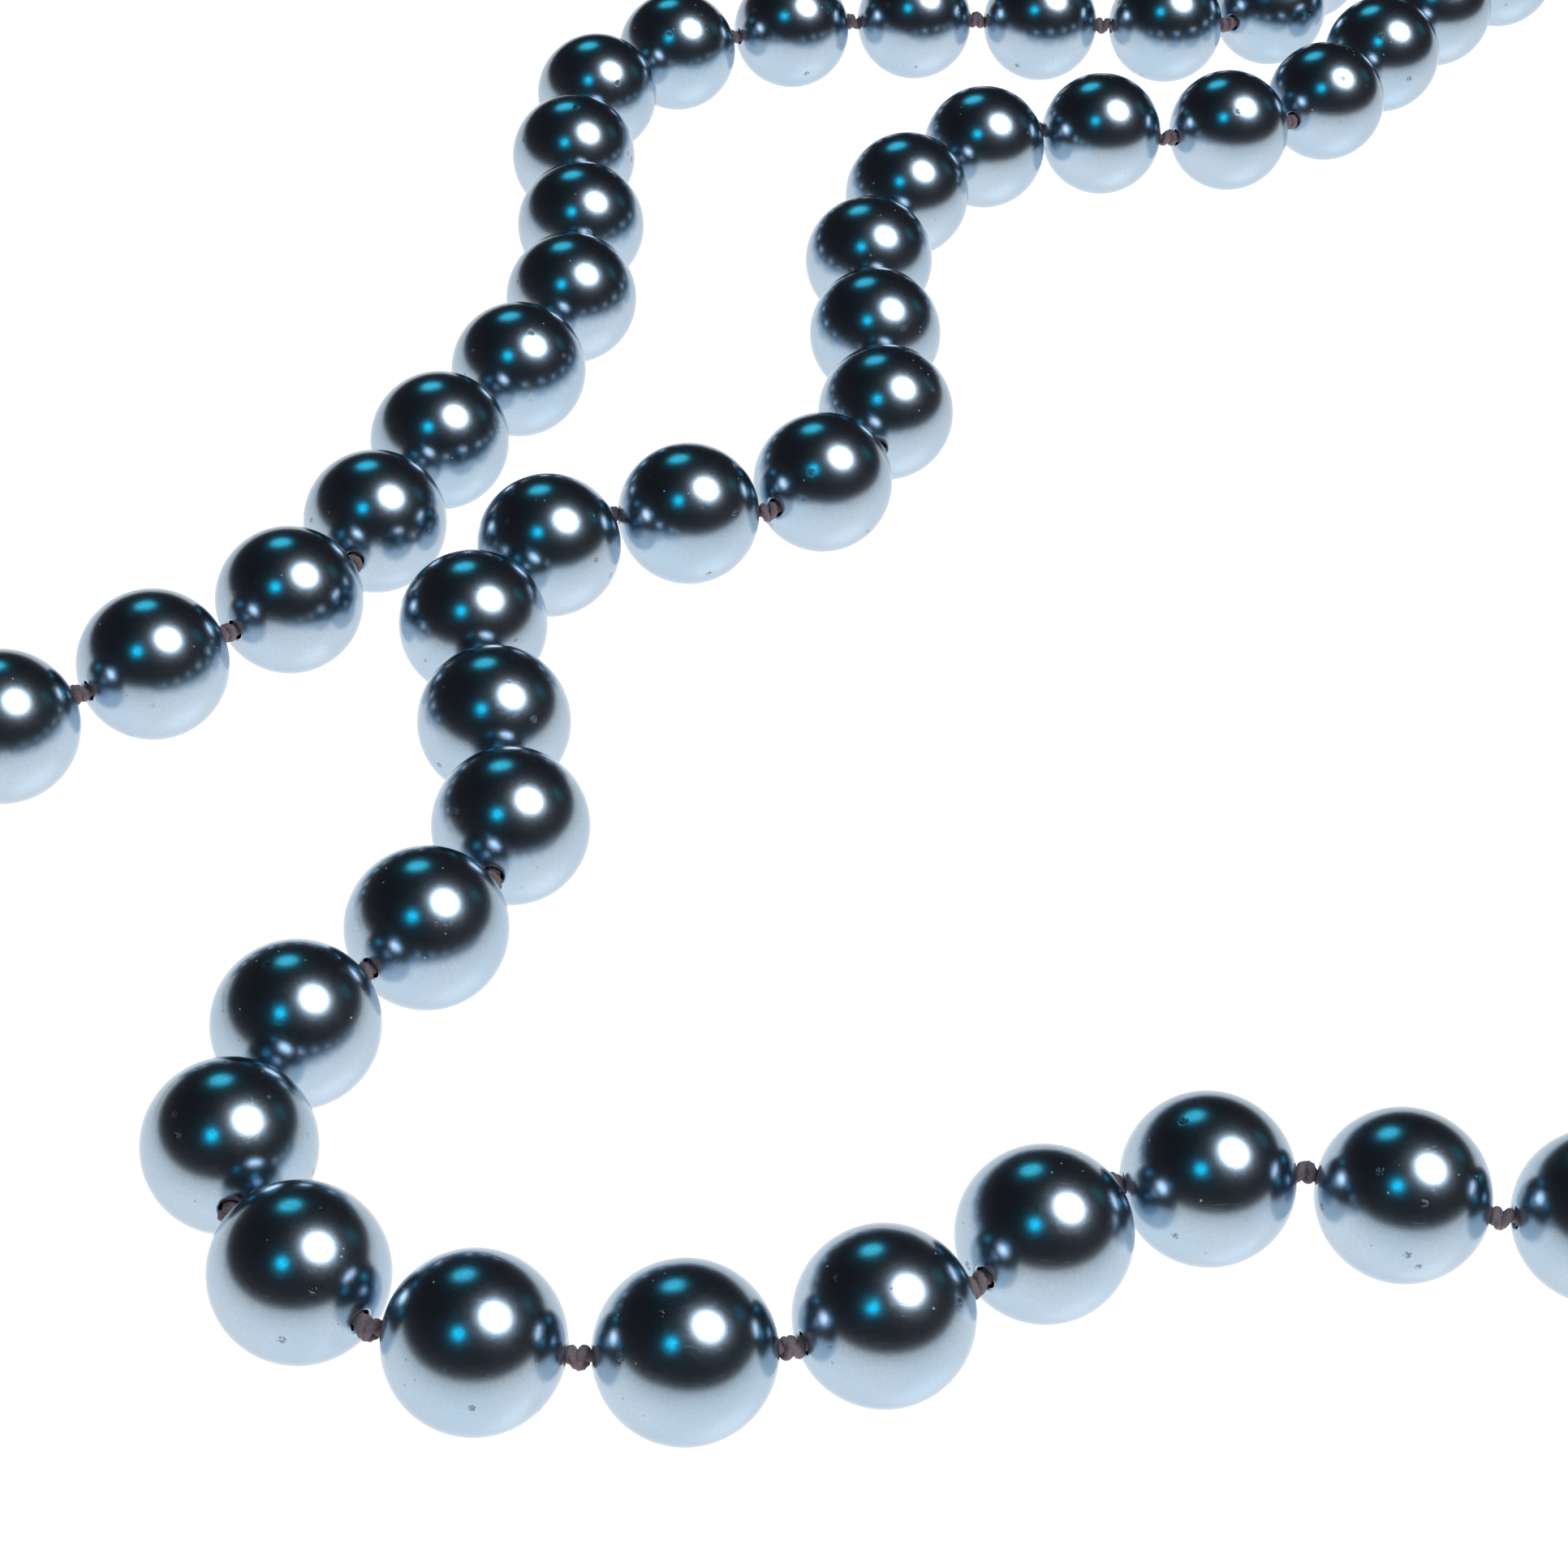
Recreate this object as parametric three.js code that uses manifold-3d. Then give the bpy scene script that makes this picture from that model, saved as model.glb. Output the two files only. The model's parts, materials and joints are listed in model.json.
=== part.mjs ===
// A knotted strand of pearls with a lobster clasp, unfastened and laid out on a table.
// Millimetres, +Z up. The table is z = 0 and every pearl rests on it. The origin is the
// middle of the outline on the table. The strand runs from the lobster clasp at the left,
// up to a U-turn at the far end, and back down to the catch ring at the right.
import * as THREE from "three";
import { mergeVertices } from "three/addons/utils/BufferGeometryUtils.js";
import Module from "manifold-3d";

const wasm = await Module();
wasm.setup();

// Driving dimensions
const PEARL_COUNT = 51;
const PEARL_DIAMETER = 8;
const KNOT_GAP = 1; // between the faces of two neighbouring pearls
const HOLE_DIAMETER = 1;
const CORD_DIAMETER = 0.6;
const KNOT_DIAMETER = 1.24;
const KNOT_LENGTH = 0.44;
const GIMP_DIAMETER = 0.76; // the coiled wire sleeve that guards the silk at each end
const GIMP_DROOP = THREE.MathUtils.degToRad(18); // how far each end loop hangs down
const RING_DIAMETER = 4.6; // outside, jump ring
const RING_WIRE = 0.7;
const CATCH_DIAMETER = 5.5; // outside, catch ring
const CATCH_WIRE = 0.9;
const LINK_PLAY = 0.12; // clearance between a ring's wire and the end loop's tip
const EYE_DIAMETER = 3.2; // outside, the clasp's own eye
const EYE_WIRE = 0.7;
const EYE_HEIGHT = 1.35; // the eye's wire above the table
const CLASP_THICKNESS = 2.6;
const CLASP_LENGTH = 10.8;
const CLASP_WIDTH = 6;
const SLOT_FLOOR = 0.8; // the plate of the clasp under the lever
const SLOT_HEIGHT = 1;
const LEVER_THICKNESS = 0.8;
const RIVET_DIAMETER = 0.84;
const RIVET_HOLE = 1.04;
const RIVET_LENGTH = 2.4;
const SPRING_DIAMETER = 0.8; // outside, across the bend of the leaf
const SPRING_LEAF = 0.18;
const SPRING_WIDTH = 0.6;

// The clasp lies along x from the middle of its eye, with the lever on the -y side.
const CLASP_START = 1.2;
const CLASP_EDGE = -4; // past the body on the lever's side
const MOUTH_MIDDLE = [8.2, 0.3];
const MOUTH_REACH = [2.4, 1.5];
const GATE = { from: 6.2, to: 10, top: -0.3 }; // the gap that the lever shuts
const SLOT = { from: 2.9, to: 7, top: -0.2 }; // the pocket that the lever turns in
const PIVOT = [4.7, -1.5];
const HUB_RADIUS = 0.85;
const SPRING_MIDDLE = [3.4, -1.5];
const SPRING_FLOOR = 1;
const LEVER_OUTLINE = [
  [5.3, -0.9], [7.4, -1.35], [9.8, -1.45], [9.8, -2.25], [7.2, -2.5],
  [5.7, -2.6], [5.4, -3.7], [4.5, -3.7], [4.35, -2.5], [3.85, -1.5],
];

// The middle line of an end loop, out from the mouth of the pearl's hole and back.
const LOOP_TIP = 3.5;
const LOOP = [
  [0.45, 0.42], [1.2, 0.85], [2.2, 1.15], [3.1, 0.85], [LOOP_TIP, 0],
  [3.1, -0.85], [2.2, -1.15], [1.2, -0.85], [0.45, -0.42],
];

// How finely the round shapes are cut
const PEARL_SEGMENTS = 10;
const PEARL_ARCS = 9; // odd, so that a flat band round the middle lets a pearl lie level
const CORD_SIDES = 6;
const WIRE_SIDES = 8;
const LOOP_STEPS = 20;
const RING_STEPS = 24;
const RIVET_SIDES = 12;
const CURVE_STEPS = 10;

const RADIUS = PEARL_DIAMETER / 2;
const PITCH = PEARL_DIAMETER + KNOT_GAP;
const UP = new THREE.Vector3(0, 0, 1);

// The path of the silk over the table, as x, y.
const ROUTE = [
  [-43.5, -45], [-24.5, -26], [-23, -17], [-15.5, -0.5], [-14.5, 8], [-17, 26], [-14.5, 34.5], [1, 43.5],
  [29, 47.5], [34.5, 53.5], [34.5, 62.5], [31, 69.5], [34.5, 79], [40.5, 82.5], [51.5, 78.5], [54.5, 68.5],
  [39.5, 46.5], [37, 40], [31.5, 33], [23, 29.5], [14, 29.5], [7, 23.5], [2.5, 6], [5, -2.5],
  [4, -11.5], [-2, -18], [-11, -19.5], [-17, -26], [-17.5, -35], [-13, -42.5], [-14, -51.5], [-24.5, -66.5],
  [-23, -75], [-16, -81], [2, -80.5], [10, -76], [16, -69.5], [25, -68], [33.5, -70], [42.5, -69],
];

const FINISH = {
  pearl: { color: 0x2b3240, roughness: 0.12, metalness: 0.6 },
  silk: { color: 0x6b5752, roughness: 0.9, metalness: 0 },
  gimp: { color: 0xb9bcc2, roughness: 0.35, metalness: 1 },
  silver: { color: 0xd5d7da, roughness: 0.2, metalness: 1 },
  steel: { color: 0xa9adb3, roughness: 0.35, metalness: 1 },
};

const necklace = new THREE.Group();

function addPart(parent, name, geometry, finish) {
  const mesh = new THREE.Mesh(geometry, new THREE.MeshStandardMaterial(FINISH[finish]));
  mesh.name = name;
  parent.add(mesh);
  return mesh;
}

// The ends of the pearls' places: each is one pitch from the last, in a straight line,
// and all but the first and last hold a knot. Each is found by stepping along the path
// until it is too far, and halving the last step.
function knotPlaces() {
  const halvings = 40;
  const path = new THREE.CatmullRomCurve3(ROUTE.map(([x, y]) => new THREE.Vector3(x, y, RADIUS)));
  const step = 0.1 / (ROUTE.length - 1);
  const places = [path.getPoint(0)];
  let at = 0;
  while (places.length <= PEARL_COUNT) {
    const from = places.at(-1);
    let low = at;
    let high = at;
    while (high < 1 && path.getPoint(high).distanceTo(from) < PITCH) {
      low = high;
      high = Math.min(1, high + step);
    }
    for (let i = 0; i < halvings; i++) {
      at = (low + high) / 2;
      if (path.getPoint(at).distanceTo(from) < PITCH) low = at;
      else high = at;
    }
    const heading = path.getPoint(at).sub(from).normalize();
    places.push(from.clone().addScaledVector(heading, PITCH));
  }
  return places;
}

// A closed tube through rings, each with a centre, the way the tube runs there, and a radius.
function sweep(rings, sides) {
  const vertices = [];
  const faces = [];
  const across = new THREE.Vector3();
  const over = new THREE.Vector3();
  for (const { centre, along, radius } of rings) {
    across.crossVectors(UP, along).normalize();
    over.crossVectors(along, across);
    for (let i = 0; i < sides; i++) {
      const turn = (i / sides) * 2 * Math.PI;
      const point = centre.clone();
      point.addScaledVector(across, radius * Math.cos(turn));
      point.addScaledVector(over, radius * Math.sin(turn));
      vertices.push(...point.toArray());
    }
  }
  for (let ring = 1; ring < rings.length; ring++) {
    for (let i = 0; i < sides; i++) {
      const a = (ring - 1) * sides + i;
      const b = (ring - 1) * sides + ((i + 1) % sides);
      faces.push(a, b, b + sides, a, b + sides, a + sides);
    }
  }
  const end = (rings.length - 1) * sides;
  for (let i = 1; i < sides - 1; i++) {
    faces.push(0, i + 1, i);
    faces.push(end, end + i, end + i + 1);
  }
  const geometry = new THREE.BufferGeometry();
  geometry.setAttribute("position", new THREE.Float32BufferAttribute(vertices, 3));
  geometry.setIndex(faces);
  return geometry;
}

function solidFrom(geometry) {
  geometry.deleteAttribute("normal");
  geometry.deleteAttribute("uv");
  const merged = mergeVertices(geometry, 1e-4);
  return new wasm.Manifold(
    new wasm.Mesh({
      numProp: 3,
      vertProperties: merged.attributes.position.array,
      triVerts: new Uint32Array(merged.index.array),
    }),
  );
}

function geometryFrom(solid) {
  const { vertProperties, triVerts } = solid.getMesh();
  const geometry = new THREE.BufferGeometry();
  geometry.setAttribute("position", new THREE.Float32BufferAttribute(vertProperties, 3));
  geometry.setIndex(new THREE.Uint32BufferAttribute(triVerts, 1));
  return geometry;
}

// A drilled pearl: its outside is an arc from one mouth of the hole to the other, with a
// narrow band at full width round the middle.
function pearlGeometry() {
  const mouth = Math.asin(HOLE_DIAMETER / PEARL_DIAMETER);
  const profile = [];
  for (let i = 0; i <= PEARL_ARCS; i++) {
    const turn = mouth + (i / PEARL_ARCS) * (Math.PI - 2 * mouth);
    const onBand = Math.abs(i - PEARL_ARCS / 2) < 1;
    const width = onBand ? RADIUS : RADIUS * Math.sin(turn);
    profile.push(new THREE.Vector2(width, -RADIUS * Math.cos(turn)));
  }
  profile.push(profile[0].clone());
  return new THREE.LatheGeometry(profile, PEARL_SEGMENTS);
}

function addPearls(places) {
  const geometry = pearlGeometry();
  for (let i = 0; i < PEARL_COUNT; i++) {
    const name = `pearl_${String(i + 1).padStart(2, "0")}`;
    const pearl = addPart(necklace, name, geometry, "pearl");
    const along = places[i + 1].clone().sub(places[i]).normalize();
    const across = new THREE.Vector3().crossVectors(along, UP);
    pearl.position.lerpVectors(places[i], places[i + 1], 0.5);
    pearl.quaternion.setFromRotationMatrix(new THREE.Matrix4().makeBasis(across, along, UP));
  }
}

// One silk cord through every pearl, tied in a round knot in each gap.
function addCord(places) {
  const inset = 0.3; // the cord's ends stop this far inside the outer pearls
  const neck = 0.46; // where a knot has narrowed to the cord again
  const thin = CORD_DIAMETER / 2;
  const runs = places.slice(1).map((place, i) => place.clone().sub(places[i]).normalize());
  const beyond = (place, along, distance) => place.clone().addScaledVector(along, distance);
  const cut = KNOT_GAP / 2 + inset;
  const rings = [{ centre: beyond(places[0], runs[0], cut), along: runs[0], radius: thin }];
  for (let i = 1; i < PEARL_COUNT; i++) {
    const before = runs[i - 1];
    const after = runs[i];
    const along = before.clone().add(after).normalize();
    const half = KNOT_LENGTH / 2;
    const fat = KNOT_DIAMETER / 2;
    rings.push({ centre: beyond(places[i], before, -neck), along: before, radius: thin });
    rings.push({ centre: beyond(places[i], along, -half), along, radius: fat });
    rings.push({ centre: beyond(places[i], along, half), along, radius: fat });
    rings.push({ centre: beyond(places[i], after, neck), along: after, radius: thin });
  }
  const end = runs.at(-1);
  rings.push({ centre: beyond(places[PEARL_COUNT], end, -cut), along: end, radius: thin });
  addPart(necklace, "silk_cord", sweep(rings, CORD_SIDES), "silk");
}

function gimpGeometry() {
  const line = new THREE.CatmullRomCurve3(LOOP.map(([x, y]) => new THREE.Vector3(x, y, 0)));
  const rings = [];
  for (let i = 0; i <= LOOP_STEPS; i++) {
    const centre = line.getPointAt(i / LOOP_STEPS);
    const along = line.getTangentAt(i / LOOP_STEPS);
    rings.push({ centre, along, radius: GIMP_DIAMETER / 2 });
  }
  return sweep(rings, WIRE_SIDES);
}

// A frame at the outer mouth of an end pearl: x runs outwards, z up.
function endFrame(place, inner) {
  const out = place.clone().sub(inner).normalize();
  const frame = new THREE.Group();
  frame.position.copy(place).addScaledVector(out, -KNOT_GAP / 2);
  frame.rotation.z = Math.atan2(out.y, out.x);
  necklace.add(frame);
  return frame;
}

function addGimp(frame, name) {
  const gimp = addPart(frame, name, gimpGeometry(), "gimp");
  gimp.rotation.y = GIMP_DROOP;
}

function ringGeometry(diameter, wire) {
  return new THREE.TorusGeometry((diameter - wire) / 2, wire / 2, WIRE_SIDES, RING_STEPS);
}

// A round ring standing on the table, hung in an end loop. Returns how far out its middle is.
function addHangingRing(frame, name, diameter, wire) {
  const tipX = LOOP_TIP * Math.cos(GIMP_DROOP);
  const tipZ = -LOOP_TIP * Math.sin(GIMP_DROOP);
  const ringZ = diameter / 2 - RADIUS;
  const reach = (diameter - GIMP_DIAMETER) / 2 - wire - LINK_PLAY;
  const ringX = tipX + Math.sqrt(reach ** 2 - (ringZ - tipZ) ** 2);
  const ring = addPart(frame, name, ringGeometry(diameter, wire), "silver");
  ring.position.set(ringX, 0, ringZ);
  ring.rotation.x = Math.PI / 2;
  return ringX;
}

function extruded(shape, floor, height) {
  const options = { depth: height, bevelEnabled: false, curveSegments: CURVE_STEPS };
  return solidFrom(new THREE.ExtrudeGeometry(shape, options).translate(0, 0, floor));
}

// The same, through the whole thickness of the clasp and past both its faces.
function cutThrough(shape) {
  const past = 1;
  return extruded(shape, -past, CLASP_THICKNESS + 2 * past);
}

function outline(points) {
  return new THREE.Shape(points.map(([x, y]) => new THREE.Vector2(x, y)));
}

function ellipse(x, y, halfLength, halfWidth) {
  return new THREE.Shape().absellipse(x, y, halfLength, halfWidth, 0, 2 * Math.PI, false);
}

function circle([x, y], radius) {
  return ellipse(x, y, radius, radius);
}

// The part of the clasp on the lever's side of a line, between two places along it.
function opening({ from, to, top }) {
  return outline([[from, CLASP_EDGE], [to, CLASP_EDGE], [to, top], [from, top]]);
}

function claspGeometry() {
  const middle = CLASP_START + CLASP_LENGTH / 2;
  const body = ellipse(middle, 0, CLASP_LENGTH / 2, CLASP_WIDTH / 2);
  const eye = ringGeometry(EYE_DIAMETER, EYE_WIRE).translate(0, 0, EYE_HEIGHT);
  const solid = extruded(body, 0, CLASP_THICKNESS)
    .subtract(cutThrough(ellipse(...MOUTH_MIDDLE, ...MOUTH_REACH)))
    .subtract(cutThrough(opening(GATE)))
    .subtract(extruded(opening(SLOT), SLOT_FLOOR, SLOT_HEIGHT))
    .subtract(cutThrough(circle(PIVOT, RIVET_HOLE / 2)))
    .add(solidFrom(eye));
  return geometryFrom(solid);
}

function leverGeometry() {
  const floor = SLOT_FLOOR + (SLOT_HEIGHT - LEVER_THICKNESS) / 2;
  const solid = extruded(outline(LEVER_OUTLINE), floor, LEVER_THICKNESS)
    .add(extruded(circle(PIVOT, HUB_RADIUS), floor, LEVER_THICKNESS))
    .subtract(cutThrough(circle(PIVOT, RIVET_HOLE / 2)));
  return geometryFrom(solid);
}

function rivetGeometry() {
  const radius = RIVET_DIAMETER / 2;
  const rivet = new THREE.CylinderGeometry(radius, radius, RIVET_LENGTH, RIVET_SIDES);
  return rivet.rotateX(Math.PI / 2).translate(...PIVOT, CLASP_THICKNESS / 2);
}

// A small bent leaf behind the lever's hub, in the slot.
function springGeometry() {
  const outside = SPRING_DIAMETER / 2;
  const quarter = Math.PI / 2;
  const leaf = new THREE.Shape();
  leaf.absarc(...SPRING_MIDDLE, outside, quarter, -quarter, false);
  leaf.absarc(...SPRING_MIDDLE, outside - SPRING_LEAF, -quarter, quarter, true);
  return geometryFrom(extruded(leaf, SPRING_FLOOR, SPRING_WIDTH));
}

function addClasp(frame, ringX) {
  const middle = (RING_DIAMETER - RING_WIRE) / 2;
  const drop = RING_DIAMETER / 2 - EYE_HEIGHT;
  const clasp = new THREE.Group();
  clasp.position.set(ringX + Math.sqrt(middle ** 2 - drop ** 2), 0, -RADIUS);
  frame.add(clasp);
  addPart(clasp, "lobster_clasp_body", claspGeometry(), "silver");
  addPart(clasp, "clasp_lever", leverGeometry(), "silver");
  addPart(clasp, "clasp_rivet", rivetGeometry(), "steel");
  addPart(clasp, "clasp_spring", springGeometry(), "steel");
}

const places = knotPlaces();
addPearls(places);
addCord(places);

const leftEnd = endFrame(places[0], places[1]);
addGimp(leftEnd, "gimp_loop_left");
const jumpRingX = addHangingRing(leftEnd, "jump_ring", RING_DIAMETER, RING_WIRE);
addClasp(leftEnd, jumpRingX);

const rightEnd = endFrame(places[PEARL_COUNT], places[PEARL_COUNT - 1]);
addGimp(rightEnd, "gimp_loop_right");
addHangingRing(rightEnd, "catch_ring", CATCH_DIAMETER, CATCH_WIRE);

export default necklace;
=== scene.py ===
"""A knotted strand of dark pearls with its end loops, rings and lobster clasp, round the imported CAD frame.

Lengths are in millimetres unless a comment says otherwise, and MM turns them into the frame's metres.
"""

import json
import math
import random

import bpy
import numpy as np
from mathutils import Matrix, Vector


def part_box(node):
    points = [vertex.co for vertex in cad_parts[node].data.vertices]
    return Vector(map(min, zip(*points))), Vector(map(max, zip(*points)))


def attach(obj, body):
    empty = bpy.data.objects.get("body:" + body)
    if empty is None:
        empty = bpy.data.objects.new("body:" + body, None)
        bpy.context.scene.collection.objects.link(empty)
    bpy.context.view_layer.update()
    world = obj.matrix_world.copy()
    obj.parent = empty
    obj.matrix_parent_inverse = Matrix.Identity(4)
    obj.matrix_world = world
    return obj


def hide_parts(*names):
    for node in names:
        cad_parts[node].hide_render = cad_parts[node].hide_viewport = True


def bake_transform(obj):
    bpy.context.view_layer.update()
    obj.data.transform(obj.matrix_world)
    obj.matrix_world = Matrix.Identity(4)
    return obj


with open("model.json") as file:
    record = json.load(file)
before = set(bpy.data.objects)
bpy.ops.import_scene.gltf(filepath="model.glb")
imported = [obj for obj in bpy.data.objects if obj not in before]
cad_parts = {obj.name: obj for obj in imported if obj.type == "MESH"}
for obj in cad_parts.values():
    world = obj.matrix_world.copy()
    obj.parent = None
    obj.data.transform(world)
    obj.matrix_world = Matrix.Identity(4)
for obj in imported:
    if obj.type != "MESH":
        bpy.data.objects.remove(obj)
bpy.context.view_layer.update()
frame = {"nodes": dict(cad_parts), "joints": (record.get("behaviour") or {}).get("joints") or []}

MM = 0.001
UP = Vector((0, 0, 1))

# The camera, from a fit to the photograph. How far it looks down and its roll are in radians.
CAMERA_AT = Vector((0, -180, 114.8)) * MM
LOOK_DOWN = 0.678
ROLL = 0.0662
LENS = 79.34
FILM_WIDTH = 36

# The lights: the way to each from the middle of the strand, half the angle it fills there in degrees, and its
# radiance in red, green and blue. All stand equally far off, in metres.
LIGHTS_MIDDLE = Vector((5, -10, 4)) * MM
LIGHTS_FAR = 1.1
LIGHTS = {
    "key": dict(way=(0.421, -0.150, 0.894), half_angle=18.5, radiance=(4.2, 4.4, 4.6)),
    "blue_back": dict(way=(-0.256, 0.697, 0.671), half_angle=10, radiance=(0.10, 1.02, 1.32)),
    "blue_left": dict(way=(-0.270, -0.560, 0.783), half_angle=6.5, radiance=(0.0, 1.95, 2.8)),
    "blue_right": dict(way=(0.794, 0.422, 0.439), half_angle=8, radiance=(0.0, 0.10, 0.12)),
}

# The table, a disc with its radius in metres
FLOOR_RADIUS = 4.0
FLOOR_SIDES = 96
FLOOR_GLOW = 1.2

# The strand
PEARL_COUNT = 51
PEARL_RADIUS = 4.0
KNOT_LENGTH = 1.0
HALF_PITCH = PEARL_RADIUS + KNOT_LENGTH / 2
PEARL_RINGS = 64
PEARL_SEGMENTS = 96

# The hole: its bore, and its rounded edge, which starts at the rim, as radii and depths below the rim
HOLE_RADIUS = 0.5
RIM_RADIUS = 0.64
HOLE_EDGE = ((0.60, 0.005), (0.55, 0.04), (0.515, 0.09), (HOLE_RADIUS, 0.16))
BORE_START = 0.5  # how far below the rim the rings of the straight bore begin
BORE_RINGS = 5

# How uneven a pearl's face is: long waves, and dimples with their width in radians
SWELL_WAVES = 3
SWELL_HEIGHT = 0.003
SWELL_TIGHTNESS = 2.2
DIMPLES = (2, 5)
DIMPLE_WIDTH = (0.09, 0.16)
DIMPLE_DEPTH = (0.003, 0.010)

# The silk: its radius in a knot, where its plies spread into the mouth of a hole, and in the bore
KNOT_STRAND = 0.23
MOUTH_RADIUS = 0.37
CORD_RADIUS = 0.29
RADIUS_CHANGES = (0.5, 0.62, 1.3)  # how far from the knot's middle it has each of those radii
CORD_LEAD = (2.2, 1.0, 0.55)  # points of the silk on its way to a knot, as distances from the knot's middle
CORD_STEP = 0.075
CORD_SIDES = 18
CORD_GAP = 0.02  # how far the silk is kept off a pearl's face
IN_HOLE = 0.42  # silk nearer to the hole's axis than this is in the hole

# The silk's plies: how many, the length in which they go round once, and the shape of their lobes
PLIES = 3
PLY_LEAD = 0.75
PLY_VALLEY = 0.80
PLY_RISE = 0.26
PLY_POWER = 0.7

# A knot's windings: along the cord, out from it, and the angle round it in degrees
WINDINGS = (
    (-0.44, 0.12, -60), (-0.41, 0.22, 0), (-0.36, 0.27, 75), (-0.27, 0.29, 150), (-0.16, 0.30, 225),
    (-0.04, 0.30, 300), (0.09, 0.30, 375), (0.21, 0.30, 450), (0.32, 0.28, 525), (0.21, 0.35, 590),
    (0.00, 0.38, 640), (-0.21, 0.36, 690), (-0.29, 0.24, 740), (-0.13, 0.10, 790), (0.16, 0.08, 850),
    (0.40, 0.08, 900),
)
KNOT_SIZE = (0.94, 1.06)
WINDING_SIZE = (0.95, 1.05)
WINDING_WOBBLE = 9  # degrees either way

# The end loops: out from the mouth of the hole and back as (out, across), their droop, and the coiled wire
LOOP = (
    (0.45, 0.42), (1.2, 0.85), (2.2, 1.15), (3.1, 0.85), (3.5, 0),
    (3.1, -0.85), (2.2, -1.15), (1.2, -0.85), (0.45, -0.42),
)
LOOP_DROOP = math.radians(18)
COIL_RADIUS = 0.38
COIL_WIRE = 0.085
COIL_PITCH = 0.19
COIL_STEP = 0.012
COIL_SIDES = 8

# The silk in an end loop. Its two legs stand this far to each side at the pearl's middle, and near the mouth.
END_SILK_RADIUS = 0.19
END_SILK_STEP = 0.09
END_SILK_SIDES = 12
LEG_AT_MIDDLE = 0.15
LEG_NEAR_MOUTH = 0.2
LEG_DEPTH = 0.8  # how far inside the mouth that second place is

# The two wire rings
RING_POINTS = 121
RING_SIDES = 24
CUT_HALF_WIDTH = 0.035

# The crown of the clasp's body, measured from its eye: it thins past a flat core, towards an oval's edge
CROWN_MIDDLE = 6.6
CROWN_HALF_LENGTH = 5.4
CROWN_HALF_WIDTH = 3
CROWN_THINNING = 0.5
CROWN_CORE = 0.5
CROWN_START = 1.0
CROWN_FADE = 0.8

# The rivet: its domed head as a radius and a drop below the top, and the drop at its edge
RIVET_DOME = ((0.0, 0.0), (0.16, 0.01), (0.30, 0.05))
RIVET_EDGE_DROP = 0.14
RIVET_SIDES = 32
POLE_RADIUS = 1e-4  # the ring on the axis keeps this radius, so that its points stay apart

SPAN_POINTS = 24  # points of a smooth path between two of its given ones
SIDE_START = (0.31, 0.22, 0.92)  # no path here starts in this direction


class Shader:
    """A Principled material with its texture space in millimetres, and the nodes that feed it."""

    def __init__(self, name, **values):
        self.material = bpy.data.materials.new(name)
        self.material.use_nodes = True
        self.tree = self.material.node_tree
        self.surface = self.tree.nodes["Principled BSDF"]
        for socket, value in values.items():
            self.surface.inputs[socket.replace("_", " ")].default_value = value
        place = self.node("TexCoord").outputs["Object"]
        self.mm = self.node("Mapping", {"Vector": place, "Scale": (1 / MM,) * 3}).outputs[0]

    def node(self, kind, inputs=None, **settings):
        made = self.tree.nodes.new("ShaderNode" + kind)
        for key, value in settings.items():
            setattr(made, key, value)
        for key, value in (inputs or {}).items():
            if isinstance(value, bpy.types.NodeSocket):
                self.tree.links.new(value, made.inputs[key])
            else:
                made.inputs[key].default_value = value
        return made

    def noise(self, scale, detail=3.0, roughness=0.5, stretch=None):
        """Noise of about that many features a millimetre, from 0 to 1."""
        at = self.mm
        if stretch:
            at = self.node("Mapping", {"Vector": at, **stretch}).outputs[0]
        inputs = {"Vector": at, "Scale": scale, "Detail": detail, "Roughness": roughness}
        return self.node("TexNoise", inputs).outputs[0]

    def span(self, value, low, high, to_low, to_high):
        """value from low..high mapped to to_low..to_high, and held at the ends."""
        inputs = {
            "Value": value, "From Min": low, "From Max": high,
            "To Min": to_low, "To Max": to_high,
        }
        return self.node("MapRange", inputs, interpolation_type="SMOOTHSTEP").outputs[0]

    def maths(self, operation, a, b):
        return self.node("Math", {0: a, 1: b}, operation=operation).outputs[0]

    def mix(self, factor, a, b):
        """The colour a, blended towards b by factor."""
        inputs = {0: factor, 6: a, 7: b}
        return self.node("Mix", inputs, data_type="RGBA").outputs[2]

    def specks(self, scale, size, share, seed):
        """Small round spots, one in each of a share of the cells: about scale cells go to a millimetre."""
        at = self.node("Mapping", {"Vector": self.mm, "Location": (seed,) * 3}).outputs[0]
        cells = self.node("TexVoronoi", {"Vector": at, "Scale": scale})
        pick = self.node("SeparateColor", {"Color": cells.outputs["Color"]}).outputs[0]
        near = self.span(cells.outputs["Distance"], size * 0.5, size, 1.0, 0.0)
        kept = self.maths("GREATER_THAN", pick, 1 - share)
        return self.maths("MULTIPLY", near, kept)

    def bump(self, height, depth, strength=1.0):
        """Adds a bump of that depth in millimetres over those already there."""
        inputs = {"Height": height, "Distance": depth * MM, "Strength": strength}
        before = self.surface.inputs["Normal"].links
        if before:
            inputs["Normal"] = before[0].from_socket
        self.feed("Normal", self.node("Bump", inputs).outputs[0])

    def feed(self, socket, value):
        self.tree.links.new(value, self.surface.inputs[socket])


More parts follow.
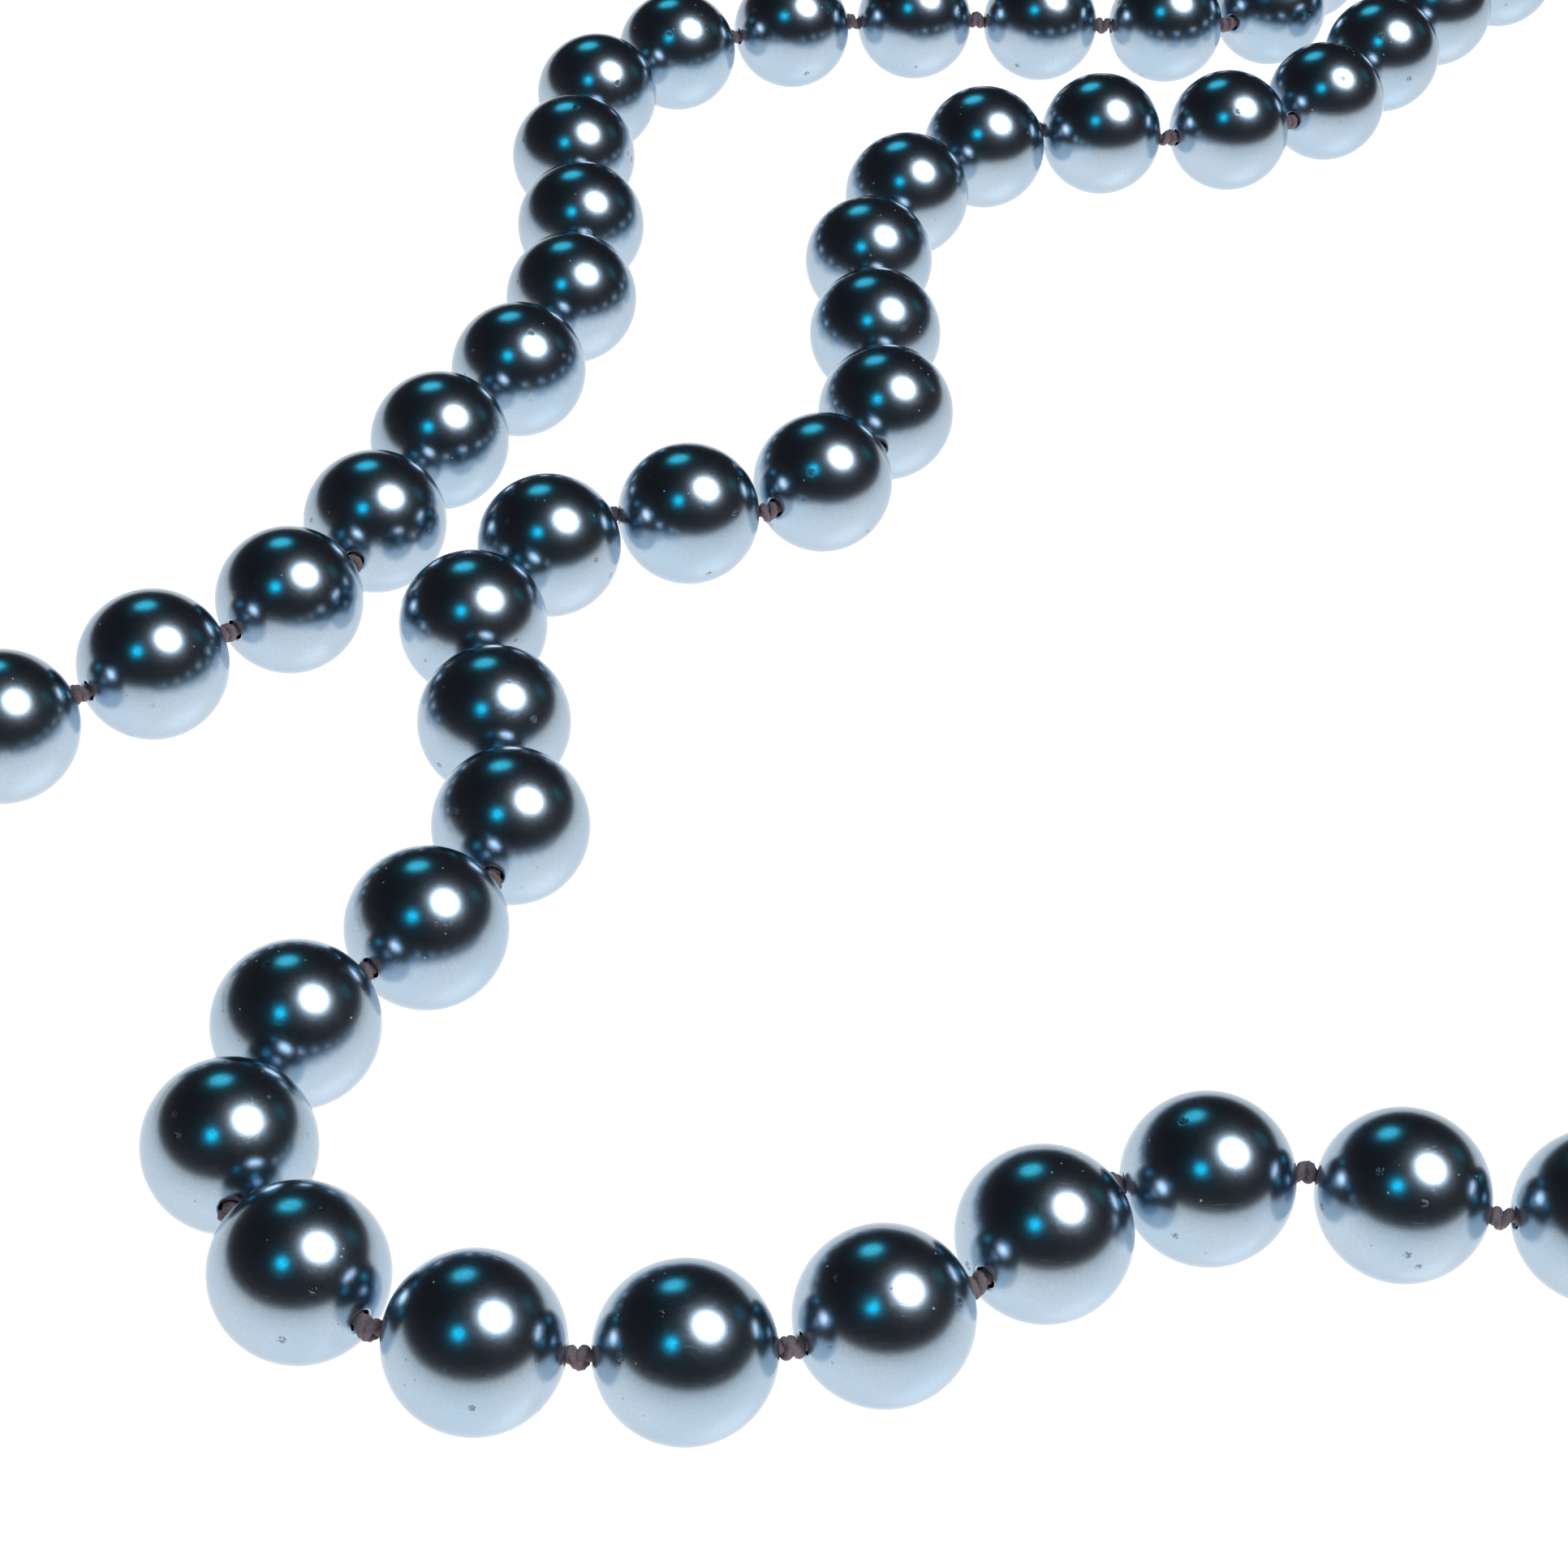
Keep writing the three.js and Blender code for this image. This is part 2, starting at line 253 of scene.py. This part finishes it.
def pearl_material():
    """A dark metallic coating, with fine scratches, scuffed pits and specks of dust."""
    blue_grey, green_grey = (0.41, 0.53, 0.645, 1), (0.46, 0.55, 0.645, 1)
    mottle, scuff, lint = (0.35, 0.46, 0.57, 1), (0.05, 0.05, 0.06, 1), (0.62, 0.64, 0.67, 1)
    shader = Shader(
        "pearl_coating", Metallic=1.0, Coat_Weight=0.8, Coat_Roughness=0.12, Coat_IOR=1.5,
        Specular_Tint=(0.62, 0.67, 0.72, 1.0),
    )
    cloud = shader.noise(0.22, detail=2.0)
    fine = shader.noise(7.0, detail=4.0, roughness=0.6)
    grain = shader.noise(22.0, detail=2.0)
    colour = shader.mix(shader.span(cloud, 0.35, 0.65, 0, 1), blue_grey, green_grey)
    colour = shader.mix(shader.span(fine, 0.3, 0.7, 0, 0.35), colour, mottle)
    ragged = shader.span(shader.noise(9.0, detail=3.0), 0.42, 0.52, 0, 1)
    pits = shader.maths("MULTIPLY", shader.specks(0.55, size=0.15, share=0.45, seed=3.1), ragged)
    dust = shader.specks(2.2, size=0.13, share=0.08, seed=7.7)
    colour = shader.mix(shader.maths("MULTIPLY", pits, 0.75), colour, scuff)
    colour = shader.mix(shader.maths("MULTIPLY", dust, 0.8), colour, lint)
    shader.feed("Base Color", colour)
    shader.feed("Metallic", shader.span(dust, 0, 1, 1.0, 0.1))
    rough = shader.span(fine, 0.3, 0.7, 0.22, 0.26)
    rough = shader.maths("ADD", rough, shader.maths("MULTIPLY", dust, 0.4))
    shader.feed("Roughness", rough)
    shader.bump(grain, depth=0.0008, strength=0.35)
    shader.bump(fine, depth=0.003, strength=0.2)
    long_lines = {"Rotation": (0.4, 0.9, 0.3), "Scale": (0.35, 14, 14)}
    scratch = shader.noise(1.2, detail=1.0, stretch=long_lines)
    shader.bump(shader.span(scratch, 0.66, 0.74, 1, 0), depth=0.002, strength=0.5)
    shader.bump(shader.maths("SUBTRACT", dust, pits), depth=0.012, strength=0.8)
    return shader.material


def silk_material():
    """Dull mauve-brown thread with a light fuzz."""
    shade, body, fuzz = (0.20, 0.14, 0.15, 1), (0.30, 0.215, 0.23, 1), (0.44, 0.34, 0.36, 1)
    shader = Shader(
        "silk_thread", Roughness=0.72, Sheen_Weight=0.15, Sheen_Roughness=0.45,
        Sheen_Tint=(0.95, 0.85, 0.85, 1.0),
    )
    fibre = shader.noise(9.0, detail=4.0, roughness=0.6, stretch={"Scale": (1.0, 2.2, 2.2)})
    cloud = shader.noise(0.9, detail=2.0)
    colour = shader.mix(shader.span(cloud, 0.35, 0.65, 0, 1), shade, body)
    colour = shader.mix(shader.span(fibre, 0.45, 0.7, 0, 0.7), colour, fuzz)
    shader.feed("Base Color", colour)
    shader.bump(fibre, depth=0.03, strength=0.8)
    return shader.material


def metal_material(name, light, dark, roughness, scratches):
    """A bright plated or drawn metal: cloudy tarnish, fine scratches and dull patches."""
    shader = Shader(name, Metallic=1.0)
    cloud = shader.noise(0.8, detail=4.0, roughness=0.6)
    fine = shader.noise(6.0, detail=3.0)
    shader.feed("Base Color", shader.mix(shader.span(cloud, 0.4, 0.7, 0, 1), (*light, 1), (*dark, 1)))
    shader.feed("Roughness", shader.span(cloud, 0.3, 0.75, roughness, roughness + 0.14))
    lines = shader.noise(1.6, detail=2.0, stretch={"Rotation": (0.2, 0.5, 0.9), "Scale": (0.5, 12, 12)})
    shader.bump(shader.span(lines, 0.55, 0.7, 1, 0), depth=0.004, strength=scratches)
    shader.bump(fine, depth=0.004, strength=0.4)
    return shader.material


def add_mesh(name, vertices, faces, material):
    """An object from vertices in millimetres and faces of four, or of three where one is named twice.

    The faces are smooth, and are turned to face out.
    """
    vertices = np.asarray(vertices, float).reshape(-1, 3)
    faces = np.asarray(faces, int)
    a, b, c, d = (vertices[faces[:, i]] for i in range(4))
    volume = np.einsum("ij,ij->", a, np.cross(b, c)) + np.einsum("ij,ij->", a, np.cross(c, d))
    if volume < 0:
        faces = faces[:, ::-1]
    mesh = bpy.data.meshes.new(name)
    mesh.from_pydata((vertices * MM).tolist(), [], [tuple(dict.fromkeys(f)) for f in faces.tolist()])
    mesh.materials.append(material)
    mesh.shade_smooth()
    made = bpy.data.objects.new(name, mesh)
    bpy.context.scene.collection.objects.link(made)
    return made


def grid_faces(rings, sides, closed):
    """Quads between neighbouring rings of points, and from the last ring back to the first if closed."""
    ring = np.arange(rings if closed else rings - 1)[:, None]
    side = np.arange(sides)[None, :]
    here, there = ring * sides, (ring + 1) % rings * sides
    after = (side + 1) % sides
    return np.stack([here + side, here + after, there + after, there + side], -1).reshape(-1, 4)


def smooth_path(points, step):
    """A Catmull-Rom curve through points, resampled at about that step, and each new point's way along."""
    points = np.asarray(points, float)
    padded = np.vstack([2 * points[0] - points[1], points, 2 * points[-1] - points[-2]])
    t = np.linspace(0, 1, SPAN_POINTS, endpoint=False)[:, None]
    parts = []
    for p0, p1, p2, p3 in zip(padded, padded[1:], padded[2:], padded[3:]):
        parts.append(
            0.5 * (2 * p1 + (p2 - p0) * t + (2 * p0 - 5 * p1 + 4 * p2 - p3) * t**2
                   + (3 * p1 - p0 - 3 * p2 + p3) * t**3)
        )
    dense = np.vstack([*parts, points[-1:]])
    far = np.concatenate([[0], np.cumsum(np.linalg.norm(np.diff(dense, axis=0), axis=1))])
    at = np.linspace(0, far[-1], max(3, round(far[-1] / step) + 1))
    return np.stack([np.interp(at, far, dense[:, i]) for i in range(3)], 1), at


def carried_frames(path):
    """Unit vectors along the path and two across it, carried from point to point without twist."""
    along = np.gradient(path, axis=0)
    along /= np.linalg.norm(along, axis=1)[:, None]
    across = np.empty_like(along)
    side = np.cross(along[0], SIDE_START)
    for i, way in enumerate(along):
        side = side - way * (side @ way)
        side /= np.linalg.norm(side)
        across[i] = side
    return along, across, np.cross(along, across)


def add_tube(name, path, radius, sides, material, plies=0, lead=1.0, at=None, push=None):
    """A closed tube along path. With plies, its section has that many lobes, which go round once in lead."""
    along, across, over = carried_frames(path)
    radius = np.broadcast_to(radius, len(path))
    turn = np.arange(sides) / sides * 2 * np.pi
    lobes = np.ones((len(path), sides))
    if plies:
        phase = turn[None, :] - at[:, None] / lead * 2 * np.pi
        lobes = PLY_VALLEY + PLY_RISE * np.abs(np.cos(phase * plies / 2)) ** PLY_POWER
    reach = (radius[:, None] * lobes)[..., None]
    rings = path[:, None] + reach * (
        across[:, None] * np.cos(turn)[None, :, None] + over[:, None] * np.sin(turn)[None, :, None]
    )
    vertices = rings.reshape(-1, 3)
    if push:
        vertices = push(vertices)
    count = len(path)
    faces = grid_faces(count, sides, False)
    first, last = len(vertices), len(vertices) + 1
    vertices = np.vstack([vertices, path[0], path[-1]])
    side = np.arange(sides)
    after = (side + 1) % sides
    end = (count - 1) * sides
    caps = np.vstack([
        np.stack([np.full(sides, first), after, side, np.full(sides, first)], 1),
        np.stack([np.full(sides, last), end + side, end + after, np.full(sides, last)], 1),
    ])
    return add_mesh(name, vertices, np.vstack([faces, caps]), material)


def centre_of(node):
    low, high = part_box(node)
    return (low + high) / 2 / MM


def pearl_name(i):
    return f"pearl_{i + 1:02d}"


def pearl_profile():
    """Places (out from the axis, along it) from rim to rim round the face, and back through the bore."""
    first = math.asin(RIM_RADIUS / PEARL_RADIUS)
    turns = np.linspace(first, math.pi - first, PEARL_RINGS)
    face = [(PEARL_RADIUS * math.sin(t), -PEARL_RADIUS * math.cos(t)) for t in turns]
    rim = face[-1][1]
    edge = [(r, rim - depth) for r, depth in HOLE_EDGE]
    bore = [(HOLE_RADIUS, z) for z in np.linspace(rim - BORE_START, BORE_START - rim, BORE_RINGS)]
    return np.array(face + edge + bore + [(r, -z) for r, z in reversed(edge)])


def add_pearl(name, centre, along, material):
    """A drilled round pearl, a little uneven, with a few shallow dimples."""
    draw = random.Random(name)
    profile = pearl_profile()
    turn = np.arange(PEARL_SEGMENTS) / PEARL_SEGMENTS * 2 * np.pi
    out, up = profile[:, :1], profile[:, 1:]
    local = np.stack([out * np.cos(turn), out * np.sin(turn), np.broadcast_to(up, (len(out), len(turn)))], -1)
    local = local.reshape(-1, 3)
    distance = np.linalg.norm(local, axis=1)
    ways = local / distance[:, None]
    fade_from, fade_over = 0.97 * PEARL_RADIUS, 0.02 * PEARL_RADIUS
    on_face = np.clip((distance - fade_from) / fade_over, 0, 1)
    swell = np.zeros(len(local))
    for _ in range(SWELL_WAVES):
        lean = np.array([draw.gauss(0, 1) for _ in range(3)])
        swell += SWELL_HEIGHT * np.sin(SWELL_TIGHTNESS * ways @ lean + draw.uniform(0, 6.3))
    for _ in range(draw.randint(*DIMPLES)):
        lean = np.array([draw.gauss(0, 1), draw.gauss(0, 1), draw.gauss(0, 0.6)])
        lean /= np.linalg.norm(lean)
        width, depth = draw.uniform(*DIMPLE_WIDTH), draw.uniform(*DIMPLE_DEPTH)
        swell -= depth * np.exp(-((np.arccos(np.clip(ways @ lean, -1, 1)) / width) ** 2))
    local *= (1 + swell * on_face / PEARL_RADIUS)[:, None]
    basis = along.to_track_quat("Z", "Y").to_matrix()
    world = local @ np.array(basis.transposed()) + np.array(centre)
    return add_mesh(name, world, grid_faces(len(profile), PEARL_SEGMENTS, True), material)


def clear_of_pearls(centres, ways):
    """A function that pushes points out of the faces of two pearls, leaving those in their holes."""

    reach = PEARL_RADIUS + CORD_GAP

    def push(points):
        for centre, way in zip(centres, ways):
            out = points - np.array(centre)
            distance = np.linalg.norm(out, axis=1)
            beside = np.linalg.norm(np.cross(out, np.array(way)), axis=1)
            inside = (distance < reach) & (beside > IN_HOLE)
            points[inside] = np.array(centre) + out[inside] / distance[inside, None] * reach
        return points

    return push


def add_knot(name, place, before, after, material):
    """The silk between the middles of two pearls, wound into a knot at place."""
    draw = random.Random(name)
    middle = (before + after).normalized()
    side = middle.cross(UP).normalized()
    top = side.cross(middle)
    spin = draw.uniform(0, 360)
    size = draw.uniform(*KNOT_SIZE)
    points = [place - before * far for far in (HALF_PITCH, *CORD_LEAD)]
    for x, out, angle in WINDINGS:
        turn = math.radians(angle + spin + draw.uniform(-WINDING_WOBBLE, WINDING_WOBBLE))
        out *= size * draw.uniform(*WINDING_SIZE)
        points.append(place + middle * x + side * out * math.cos(turn) + top * out * math.sin(turn))
    points += [place + after * far for far in (*reversed(CORD_LEAD), HALF_PITCH)]
    path, at = smooth_path([tuple(p) for p in points], CORD_STEP)
    away = np.linalg.norm(path - np.array(place), axis=1)
    radius = np.interp(away, RADIUS_CHANGES, [KNOT_STRAND, MOUTH_RADIUS, CORD_RADIUS])
    centres = (place - before * HALF_PITCH, place + after * HALF_PITCH)
    push = clear_of_pearls(centres, (before, after))
    return add_tube(name, path, radius, CORD_SIDES, material, plies=PLIES, lead=PLY_LEAD, at=at, push=push)


def add_strand(pearl, silk):
    """Every pearl on its own body, and the silk between each two."""
    knots = {}
    for joint in frame["joints"]:
        if joint["name"].startswith("knot_"):
            knots[int(joint["name"].split("_")[1]) - 1] = Vector(joint["pos_m"]) / MM
    centres = [centre_of(pearl_name(i)) for i in range(PEARL_COUNT)]
    ways = []
    for i, centre in enumerate(centres):
        before = knots.get(i - 1, 2 * centre - knots.get(i, centre))
        after = knots.get(i, 2 * centre - before)
        ways.append((after - before).normalized())
    for i, (centre, way) in enumerate(zip(centres, ways)):
        made = add_pearl(f"{pearl_name(i)}_bead", centre, way, pearl)
        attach(made, pearl_name(i))
        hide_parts(pearl_name(i))
    for i, place in sorted(knots.items()):
        made = add_knot(f"knot_{i + 1:02d}", place, ways[i], ways[i + 1], silk)
        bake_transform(made)
        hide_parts("silk_cord")
    return centres, ways


def add_end_loop(side, centre, out, pearl, gimp, silk):
    """A loop of coiled wire with the silk inside it, out of an end pearl's hole and back."""
    body = pearl_name(pearl)
    mouth = centre + out * PEARL_RADIUS
    across = UP.cross(out)
    forward = out * math.cos(LOOP_DROOP) - UP * math.sin(LOOP_DROOP)
    line = [tuple(mouth + forward * x + across * y) for x, y in LOOP]
    core, _ = smooth_path(line, COIL_STEP)
    far = np.concatenate([[0], np.cumsum(np.linalg.norm(np.diff(core, axis=0), axis=1))])
    _, one, two = carried_frames(core)
    turn = (far / COIL_PITCH * 2 * np.pi)[:, None]
    middle = COIL_RADIUS - COIL_WIRE
    coil = core + middle * (one * np.cos(turn) + two * np.sin(turn))
    made = add_tube(f"gimp_coil_{side}", coil, COIL_WIRE, COIL_SIDES, gimp)
    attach(made, body)
    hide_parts(f"gimp_loop_{side}")
    inner = mouth - out * LEG_DEPTH
    inside = [tuple(centre + across * LEG_AT_MIDDLE), tuple(inner + across * LEG_NEAR_MOUTH), *line]
    inside += [tuple(inner - across * LEG_NEAR_MOUTH), tuple(centre - across * LEG_AT_MIDDLE)]
    path, at = smooth_path(inside, END_SILK_STEP)
    made = add_tube(
        f"end_silk_{side}", path, END_SILK_RADIUS, END_SILK_SIDES, silk, plies=PLIES, lead=PLY_LEAD, at=at
    )
    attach(made, body)


def add_ring(node, out, wire, cut_at, silver):
    """A wire ring standing upright, with the fine cut where it was closed, cut_at degrees round from out."""
    low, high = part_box(node)
    middle = (low + high) / 2 / MM
    radius = (high.z - low.z) / 2 / MM - wire
    gap = CUT_HALF_WIDTH / radius
    turns = np.linspace(gap, 2 * math.pi - gap, RING_POINTS) + math.radians(cut_at)
    path = np.array([tuple(middle + (out * math.cos(t) + UP * math.sin(t)) * radius) for t in turns])
    made = add_tube(f"{node}_wire", path, wire, RING_SIDES, silver)
    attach(made, node)
    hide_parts(node)


def cast_copy(node, name, material, voxel, rounding, shape=None):
    """A remeshed copy of a CAD node, its edges rounded as a casting's are, then moved by shape if given."""
    mesh = frame["nodes"][node].data.copy()
    mesh.transform(Matrix.Scale(1 / MM, 4))
    rough = bpy.data.objects.new(name, mesh)
    bpy.context.scene.collection.objects.link(rough)
    remesh = rough.modifiers.new("remesh", "REMESH")
    remesh.mode = "VOXEL"
    remesh.voxel_size = voxel
    smooth = rough.modifiers.new("smooth", "SMOOTH")
    smooth.factor = 0.5
    smooth.iterations = rounding
    view = bpy.context.evaluated_depsgraph_get()
    made = bpy.data.meshes.new_from_object(rough.evaluated_get(view))
    rough.modifiers.clear()
    rough.data = made
    if shape:
        points = np.array([v.co for v in made.vertices])
        made.vertices.foreach_set("co", shape(points).ravel())
    made.transform(Matrix.Scale(MM, 4))
    made.materials.clear()
    made.materials.append(material)
    made.shade_smooth()
    made.update()
    return rough


def add_clasp(out, silver, steel):
    """The lobster clasp: a crowned body, a lever, a domed rivet, and the CAD node's own spring in steel."""
    joints = {j["name"]: j for j in frame["joints"]}
    eye = Vector(joints["lobster_clasp_swing"]["pos_m"]) / MM
    pivot = Vector(joints["clasp_lever_pivot"]["pos_m"]) / MM
    side = UP.cross(out)
    low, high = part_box("lobster_clasp_body")
    mid = (low.z + high.z) / 2 / MM

    def crown(points):
        from_eye = points - np.array(eye)
        x, y = from_eye @ np.array(out), from_eye @ np.array(side)
        reach = ((x - CROWN_MIDDLE) / CROWN_HALF_LENGTH) ** 2 + (y / CROWN_HALF_WIDTH) ** 2
        thick = 1 - CROWN_THINNING * np.clip(reach, 0, 1)
        height = points[:, 2] - mid
        past = np.clip(np.abs(height) - CROWN_CORE, 0, None)
        on_body = np.clip((x - CROWN_START) / CROWN_FADE, 0, 1)
        points[:, 2] = mid + np.sign(height) * (np.abs(height) - past * (1 - thick) * on_body)
        return points

    body = cast_copy("lobster_clasp_body", "clasp_shell", silver, voxel=0.07, rounding=8, shape=crown)
    lever = cast_copy("clasp_lever", "clasp_thumb_lever", silver, voxel=0.05, rounding=5)
    castings = (
        (body, "lobster_clasp", "lobster_clasp_body"),
        (lever, "clasp_lever", "clasp_lever"),
    )
    for made, rides, node in castings:
        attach(made, rides)
        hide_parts(node)
    rivet_low, rivet_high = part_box("clasp_rivet")
    half = (rivet_high.z - rivet_low.z) / 2 / MM
    radius = (rivet_high.x - rivet_low.x) / 2 / MM
    profile = [(r, half - drop) for r, drop in RIVET_DOME]
    profile += [(radius, half - RIVET_EDGE_DROP), (radius, 0.0)]
    profile += [(r, -z) for r, z in reversed(profile[:-1])]
    turn = np.arange(RIVET_SIDES) / RIVET_SIDES * 2 * np.pi
    rings = []
    for r, z in profile:
        reach = max(r, POLE_RADIUS)
        x, y = reach * np.cos(turn) + pivot.x, reach * np.sin(turn) + pivot.y
        rings.append(np.stack([x, y, np.full(RIVET_SIDES, mid + z)], 1))
    faces = grid_faces(len(rings), RIVET_SIDES, False)
    made = add_mesh("clasp_rivet_pin", np.vstack(rings), faces, steel)
    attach(made, "lobster_clasp")
    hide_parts("clasp_rivet")
    spring = frame["nodes"]["clasp_spring"]
    spring.data.materials.clear()
    spring.data.materials.append(steel)


def add_camera():
    data = bpy.data.cameras.new("camera")
    data.sensor_width = FILM_WIDTH
    data.lens = LENS
    data.clip_start = 0.005
    data.clip_end = 30
    camera = bpy.data.objects.new("camera", data)
    bpy.context.scene.collection.objects.link(camera)
    forward = Vector((0, math.cos(LOOK_DOWN), -math.sin(LOOK_DOWN)))
    level, upright = Vector((1, 0, 0)), Vector((0, math.sin(LOOK_DOWN), math.cos(LOOK_DOWN)))
    right = level * math.cos(ROLL) + upright * math.sin(ROLL)
    up = upright * math.cos(ROLL) - level * math.sin(ROLL)
    turn = Matrix((right, up, -forward)).transposed()
    camera.matrix_world = Matrix.Translation(CAMERA_AT) @ turn.to_4x4()
    bpy.context.scene.camera = camera


def add_floor():
    """A table that its own light makes white and free of shadows, under a satin clear coat."""
    shader = Shader(
        "white_table", Base_Color=(0.12, 0.12, 0.12, 1), Roughness=0.9, Specular_IOR_Level=0.0,
        Coat_Weight=1.0, Coat_Roughness=0.3, Coat_IOR=1.7,
    )
    shader.surface.inputs["Emission Color"].default_value = (0.985, 0.995, 1.0, 1)
    shader.surface.inputs["Emission Strength"].default_value = FLOOR_GLOW
    turn = np.linspace(0, 2 * math.pi, FLOOR_SIDES, endpoint=False)
    corners = [(FLOOR_RADIUS * math.cos(t), FLOOR_RADIUS * math.sin(t), 0) for t in turn]
    mesh = bpy.data.meshes.new("table_top")
    mesh.from_pydata(corners, [], [range(FLOOR_SIDES)])
    mesh.materials.append(shader.material)
    floor = bpy.data.objects.new("table_top", mesh)
    bpy.context.scene.collection.objects.link(floor)


def add_lights():
    """Round lamps that the camera doesn't see, each as bright and as wide as LIGHTS says."""
    for name, light in LIGHTS.items():
        data = bpy.data.lights.new(name, "AREA")
        data.shape = "DISK"
        way = Vector(light["way"]).normalized()
        data.size = 2 * LIGHTS_FAR * math.tan(math.radians(light["half_angle"]))
        strongest = max(light["radiance"])
        data.color = [c / strongest for c in light["radiance"]]
        data.energy = strongest * math.pi * math.pi * (data.size / 2) ** 2
        lamp = bpy.data.objects.new(name, data)
        lamp.location = LIGHTS_MIDDLE + way * LIGHTS_FAR
        lamp.rotation_mode = "QUATERNION"
        lamp.rotation_quaternion = way.to_track_quat("Z", "Y")
        lamp.visible_camera = False
        bpy.context.scene.collection.objects.link(lamp)


def add_surroundings():
    """A dim room, darker above than at the horizon, with a pale backdrop that only the camera sees."""
    world = bpy.data.worlds.new("room")
    bpy.context.scene.world = world
    world.use_nodes = True
    nodes, link = world.node_tree.nodes, world.node_tree.links.new
    nodes.clear()
    output = nodes.new("ShaderNodeOutputWorld")
    room = nodes.new("ShaderNodeBackground")
    backdrop = nodes.new("ShaderNodeBackground")
    either = nodes.new("ShaderNodeMixShader")
    way = nodes.new("ShaderNodeTexCoord")
    parts = nodes.new("ShaderNodeSeparateXYZ")
    ramp = nodes.new("ShaderNodeValToRGB")
    ramp.color_ramp.elements[0].position = 0.0
    ramp.color_ramp.elements[0].color = (0.019, 0.015, 0.018, 1)
    ramp.color_ramp.elements[1].position = 0.8
    ramp.color_ramp.elements[1].color = (0.010, 0.010, 0.012, 1)
    link(way.outputs["Generated"], parts.inputs[0])
    link(parts.outputs["Z"], ramp.inputs[0])
    link(ramp.outputs[0], room.inputs["Color"])
    backdrop.inputs["Color"].default_value = (0.86, 0.88, 0.90, 1)
    link(nodes.new("ShaderNodeLightPath").outputs["Is Camera Ray"], either.inputs[0])
    link(room.outputs[0], either.inputs[1])
    link(backdrop.outputs[0], either.inputs[2])
    link(either.outputs[0], output.inputs["Surface"])


add_camera()
add_floor()
add_lights()
add_surroundings()
bpy.context.scene.view_settings.view_transform = "Standard"

pearl = pearl_material()
silk = silk_material()
gimp = metal_material("gimp_wire", (0.78, 0.78, 0.80), (0.60, 0.60, 0.63), roughness=0.22, scratches=0.3)
silver = metal_material("silver_plate", (0.84, 0.83, 0.81), (0.70, 0.69, 0.68), roughness=0.10, scratches=0.5)
steel = metal_material("spring_steel", (0.62, 0.62, 0.64), (0.48, 0.48, 0.50), roughness=0.26, scratches=0.8)

centres, ways = add_strand(pearl, silk)
left_out, right_out = -ways[0], ways[-1]
add_end_loop("left", centres[0], left_out, 0, gimp, silk)
add_end_loop("right", centres[-1], right_out, PEARL_COUNT - 1, gimp, silk)
add_ring("jump_ring", left_out, wire=0.35, cut_at=70, silver=silver)
add_ring("catch_ring", right_out, wire=0.45, cut_at=110, silver=silver)
add_clasp(left_out, silver, steel)
